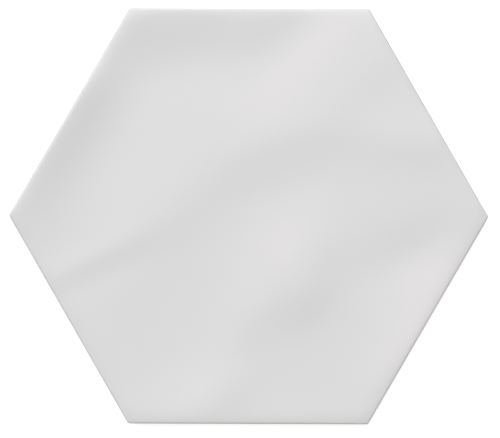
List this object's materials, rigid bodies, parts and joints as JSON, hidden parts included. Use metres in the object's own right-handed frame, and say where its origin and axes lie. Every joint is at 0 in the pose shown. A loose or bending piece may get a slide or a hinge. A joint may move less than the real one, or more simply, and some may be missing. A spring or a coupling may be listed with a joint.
{
  "type": "hexagon wall tile",
  "caption": "Flat hexagonal ceramic wall tile with a softly waved white glazed face, a rolled lip and a shallow honeycomb key on its back.",
  "frame": {"origin": "centre of the back, on the plane that the tile lies on", "axes": "+Z out of the back towards the glazed face, +X across two opposite corners, +Y across two opposite edges"},
  "size_m": [0.1728, 0.15, 0.0101],
  "materials": {
    "glazed_tile": "satin gloss white glaze on the face and lip, running out down the edges; bare pale fired body on the back"
  },
  "bodies": {
    "root": {"hexagon_tile": "glazed_tile"}
  },
  "joints": []
}
